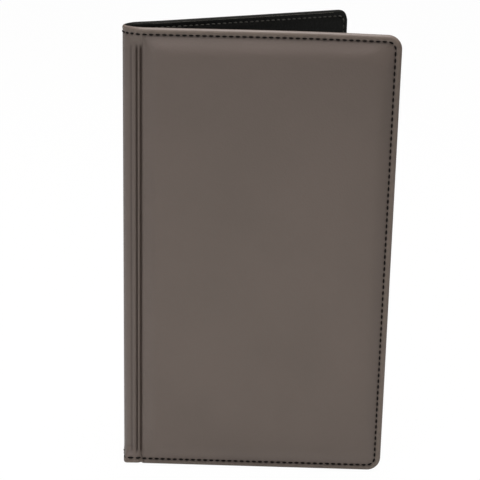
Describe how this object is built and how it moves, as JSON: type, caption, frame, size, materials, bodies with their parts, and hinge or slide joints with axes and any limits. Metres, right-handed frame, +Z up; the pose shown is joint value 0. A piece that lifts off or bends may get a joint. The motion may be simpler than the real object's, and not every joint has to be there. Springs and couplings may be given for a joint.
{
  "type": "guest check presenter",
  "caption": "Padded two-cover folder with a soft spine, stitched rim, black lining and inner pockets that carry a bill and a card to the table.",
  "frame": {"origin": "on the floor, under the middle of the bounding box of the folder as it stands ajar", "axes": "+Z up along the spine, +X from the spine to the fore-edges, the XZ plane halves the angle between the covers, front cover at -Y"},
  "size_m": [0.1274, 0.0922, 0.228],
  "materials": {
    "cover_leatherette": "fine grain, satin, brown-grey",
    "lining_leatherette": "fine grain, matte, black",
    "foam": "open-cell foam sheet, matte",
    "greyboard": "uncoated greyboard"
  },
  "bodies": {
    "back_cover": {"back_skin": "cover_leatherette", "back_pad": "foam", "back_board": "greyboard", "back_lining": "lining_leatherette", "back_pocket": "lining_leatherette", "card_pocket": "lining_leatherette"},
    "spine": {"spine_skin": "cover_leatherette", "spine_pad": "foam", "spine_lining": "lining_leatherette"},
    "front_cover": {"front_skin": "cover_leatherette", "front_pad": "foam", "front_board": "greyboard", "front_lining": "lining_leatherette", "front_pocket": "lining_leatherette"}
  },
  "joints": [
    {"name": "back_fold", "type": "hinge", "parent": "back_cover", "child": "spine", "pos_m": [-0.05638, 0.00786, 0], "axis": [0, 0, -1], "range_deg": [-18.8, 73.5]},
    {"name": "front_fold", "type": "hinge", "parent": "spine", "child": "front_cover", "pos_m": [-0.05638, -0.00786, 0], "axis": [0, 0, -1], "range_deg": [-18.8, 73.5]}
  ]
}
